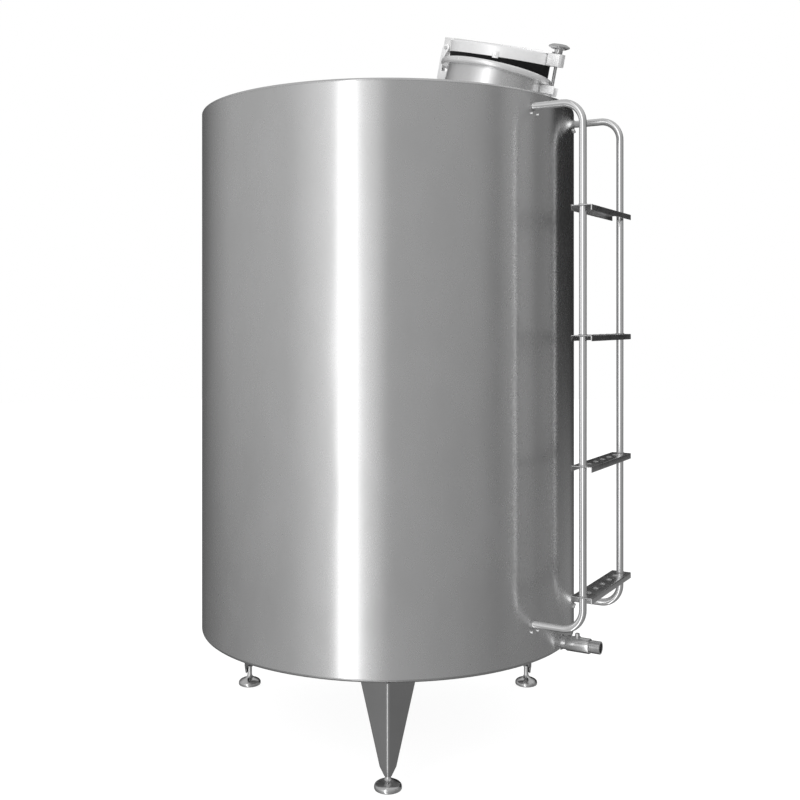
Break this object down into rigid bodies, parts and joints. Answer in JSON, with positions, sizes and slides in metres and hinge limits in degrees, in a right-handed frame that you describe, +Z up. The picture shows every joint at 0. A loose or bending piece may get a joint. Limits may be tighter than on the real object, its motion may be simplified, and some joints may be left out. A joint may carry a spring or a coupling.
{
  "type": "vertical storage tank",
  "caption": "Upright round storage tank with a shallow cone roof, short folded legs on screwed feet, a side ladder, a tilted hinged manhole and a low side outlet.",
  "frame": {"origin": "middle of the overall box, on the floor", "axes": "+Z up the tank's axis, -Y the side with the front leg, the ladder 30 degrees from +X towards -Y"},
  "size_m": [1.324, 1.185, 2.1306],
  "materials": {
    "shell_sheet": "polished with fine vertical grain",
    "roof_sheet": "polished",
    "bottom_sheet": "mill finish",
    "leg_plate": "polished, bright folded edge",
    "foot_steel": "turned and polished",
    "rail_tube": "polished tube",
    "rung_sheet": "punched sheet, dull",
    "seal_rubber": "matt black",
    "lid_sheet": "satin",
    "fitting_plate": "satin",
    "turned_steel": "turned",
    "knob_steel": "cast and polished",
    "neck_sheet": "satin, rolled rim polished",
    "outlet_steel": "turned"
  },
  "bodies": {
    "tank": {"roof": "roof_sheet", "bottom_plate": "bottom_sheet", "shell_wall_1": "shell_sheet", "shell_wall_2": "shell_sheet", "shell_wall_3": "shell_sheet", "shell_wall_4": "shell_sheet", "shell_wall_5": "shell_sheet", "shell_wall_6": "shell_sheet", "shell_wall_7": "shell_sheet", "shell_wall_8": "shell_sheet", "leg_front": "leg_plate", "leg_sole_front": "leg_plate", "foot_front": "foot_steel", "leg_right": "leg_plate", "leg_sole_right": "leg_plate", "foot_right": "foot_steel", "leg_left": "leg_plate", "leg_sole_left": "leg_plate", "foot_left": "foot_steel", "ladder_rail_left": "rail_tube", "ladder_rail_right": "rail_tube", "ladder_rung_1": "rung_sheet", "ladder_rung_2": "rung_sheet", "ladder_rung_3": "rung_sheet", "ladder_rung_4": "rung_sheet", "manhole_neck": "neck_sheet", "manhole_rim": "neck_sheet", "screw_lug": "fitting_plate", "hinge_bracket": "fitting_plate", "hinge_pin": "turned_steel", "outlet_pipe": "outlet_steel", "valve_body": "outlet_steel", "outlet_spigot": "outlet_steel"},
    "lid": {"lid_pan": "lid_sheet", "lid_seal": "seal_rubber", "lid_bar": "fitting_plate", "lid_clip": "fitting_plate"},
    "hand_screw": {"hand_screw": "turned_steel", "hand_knob": "knob_steel"}
  },
  "joints": [
    {"name": "lid_hinge", "type": "hinge", "parent": "tank", "child": "lid", "pos_m": [0.11057, -0.19156, 2.09707], "axis": [-0.4658, -0.876, -0.1249], "range_deg": [0, 110]},
    {"name": "hand_screw_turn", "type": "hinge", "parent": "lid", "child": "hand_screw", "pos_m": [0.41625, -0.34085, 2.00416], "axis": [0.1533, -0.2189, 0.9636], "continuous": true}
  ]
}
